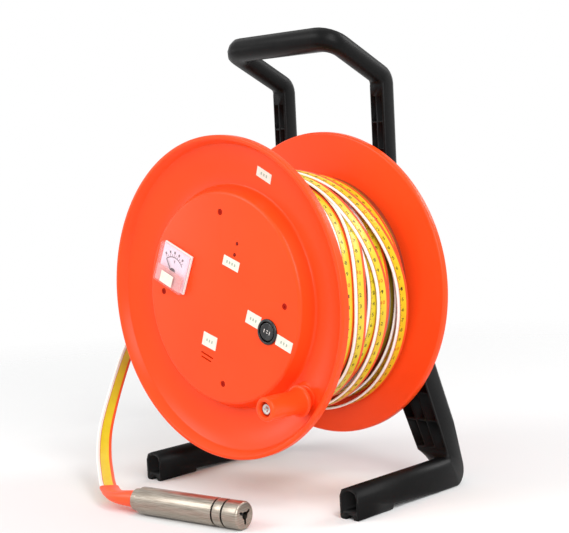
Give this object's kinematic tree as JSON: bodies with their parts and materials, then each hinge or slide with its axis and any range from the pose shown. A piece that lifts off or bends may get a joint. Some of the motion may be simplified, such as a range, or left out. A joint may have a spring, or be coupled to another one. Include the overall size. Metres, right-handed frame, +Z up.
{
  "type": "water level meter",
  "caption": "Portable well water level meter: a crank reel of flat printed tape with panel meter and switch, a moulded carrying frame, and a steel probe.",
  "frame": {"origin": "middle of the bounding box on the ground plane, measured without the free tape, boot and probe", "axes": "+Z up, -Y towards the front panel and crank, +X to the right as the panel is read; the reel's axis runs along Y"},
  "size_m": [0.3268, 0.265, 0.4367],
  "materials": {
    "orange_plastic": "moulded orange-red plastic with a soft sheen",
    "black_plastic": "moulded black plastic, satin, slightly scuffed",
    "steel": "plain zinc-plated steel fasteners",
    "probe_steel": "turned stainless steel with fine lathe marks",
    "white_plastic": "white plastic",
    "clear_plastic": "clear acrylic",
    "nylon": "natural nylon",
    "printed_tape": "yellow coated flat tape with black and red print, a white and an orange edge",
    "heat_shrink": "orange heat-shrink sleeve",
    "rubber": "black rubber ring",
    "board": "green circuit board",
    "battery": "plain metal-cased block battery",
    "lamp": "red lens"
  },
  "bodies": {
    "frame": {"frame": "black_plastic", "axle": "steel", "retaining_clip": "steel", "hub_spacer": "nylon", "axle_washer": "steel", "axle_nut": "steel", "free_tape": "printed_tape", "tape_boot": "heat_shrink", "probe_tube": "probe_steel", "probe_seal_rear": "rubber", "probe_ring": "probe_steel", "probe_seal_front": "rubber", "probe_tip": "probe_steel", "probe_electrode": "probe_steel"},
    "reel": {"front_flange": "orange_plastic", "back_flange": "orange_plastic", "drum_barrel": "orange_plastic", "hub_bush_front": "nylon", "hub_bush_rear": "nylon", "wound_tape": "printed_tape", "crank_spindle": "steel", "crank_washer": "steel", "crank_nut": "steel", "meter_base": "white_plastic", "meter_dial": "white_plastic", "meter_cover": "clear_plastic", "switch_housing": "black_plastic", "indicator_lamp_upper": "lamp", "indicator_lamp_lower": "lamp", "buzzer": "black_plastic", "circuit_board": "board", "battery_holder": "black_plastic", "battery": "battery", "flange_screw_1": "steel", "flange_screw_2": "steel", "flange_screw_3": "steel", "flange_screw_4": "steel", "back_flange_screw_1": "steel", "back_flange_screw_2": "steel", "back_flange_screw_3": "steel", "back_flange_screw_4": "steel"},
    "crank_grip": {"crank_grip": "orange_plastic"},
    "switch_rocker": {"switch_rocker": "black_plastic"},
    "meter_needle": {"meter_needle": "black_plastic"}
  },
  "joints": [
    {"name": "reel_spin", "type": "hinge", "parent": "frame", "child": "reel", "pos_m": [0, 0, 0.1916], "axis": [0, 1, 0], "continuous": true},
    {"name": "crank_grip_spin", "type": "hinge", "parent": "reel", "child": "crank_grip", "pos_m": [0.089, -0.0865, 0.1036], "axis": [0, 1, 0], "continuous": true},
    {"name": "switch_rock", "type": "hinge", "parent": "reel", "child": "switch_rocker", "pos_m": [0.0578, -0.0694, 0.1639], "axis": [0.3584, 0, 0.9336], "range_deg": [-12, 12]},
    {"name": "needle_swing", "type": "hinge", "parent": "reel", "child": "meter_needle", "pos_m": [-0.06199, -0.0715, 0.21454], "axis": [0, 1, 0], "range_deg": [0, 90], "stiffness_Nm_per_rad": 0.0001}
  ]
}
